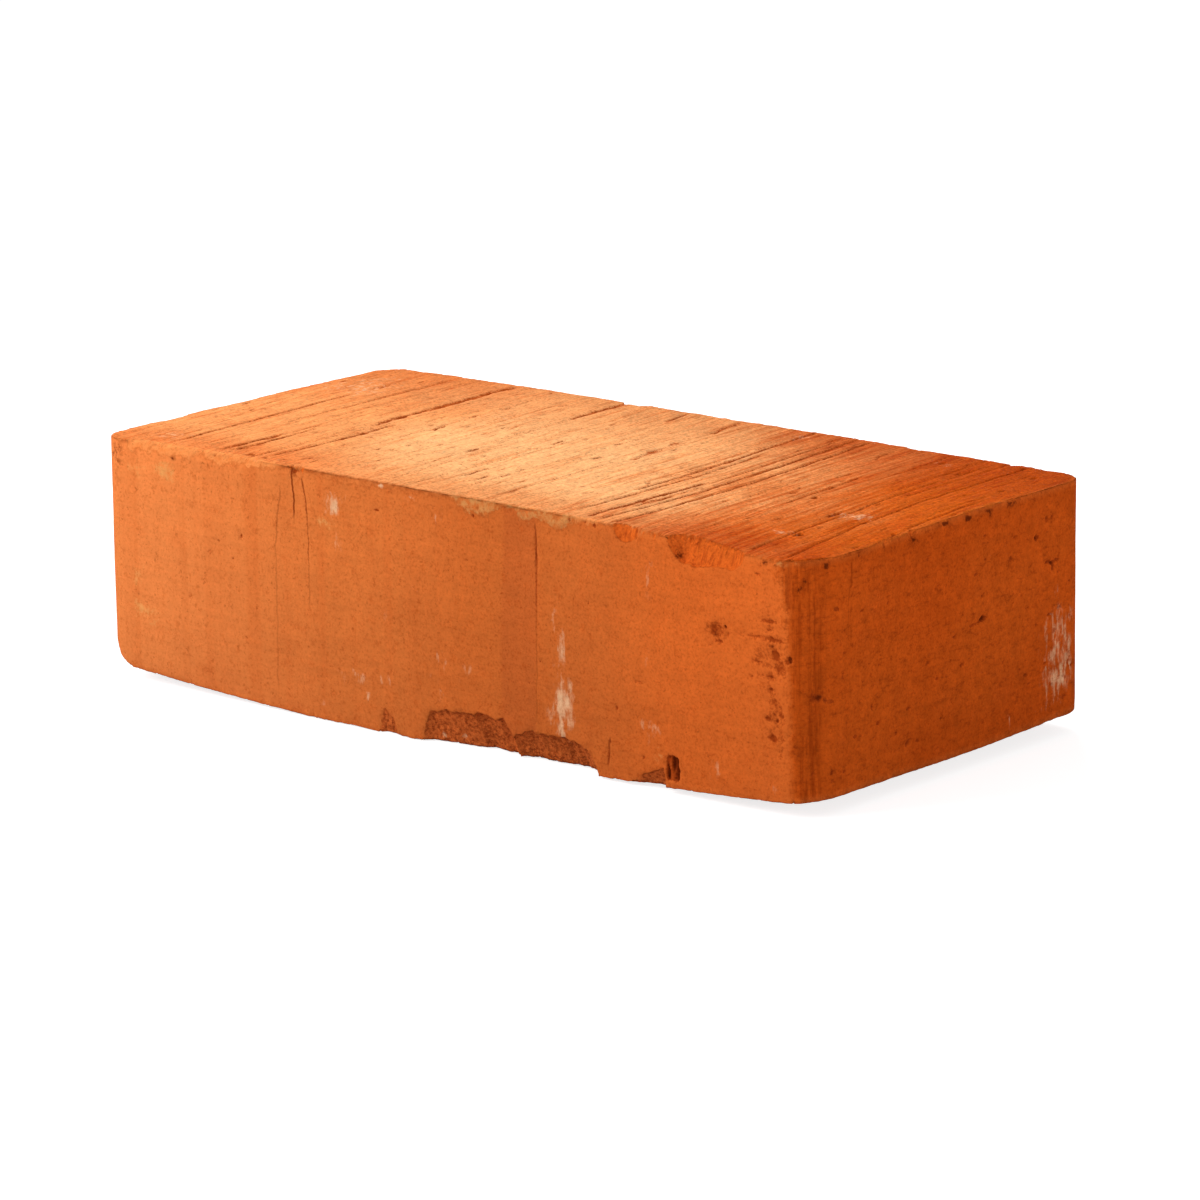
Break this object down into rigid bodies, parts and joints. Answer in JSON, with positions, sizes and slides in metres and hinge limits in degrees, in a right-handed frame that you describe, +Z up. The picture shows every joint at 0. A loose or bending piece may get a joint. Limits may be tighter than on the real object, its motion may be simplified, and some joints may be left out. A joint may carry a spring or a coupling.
{
  "type": "clay brick",
  "caption": "Solid fired clay building brick with bowed wire-cut beds, rounded corners and chipped arrises, for laying in mortar or stacking.",
  "frame": {"origin": "on the lower bed, under the middle of the brick", "axes": "+X along the stretcher face, +Y away from the pictured stretcher face, +Z up through the beds"},
  "size_m": [0.25, 0.12, 0.069],
  "materials": {
    "fired_clay": "matt fired terracotta with fine grain, wire drag marks and pale lime stains"
  },
  "bodies": {
    "root": {"brick": "fired_clay"}
  },
  "joints": []
}
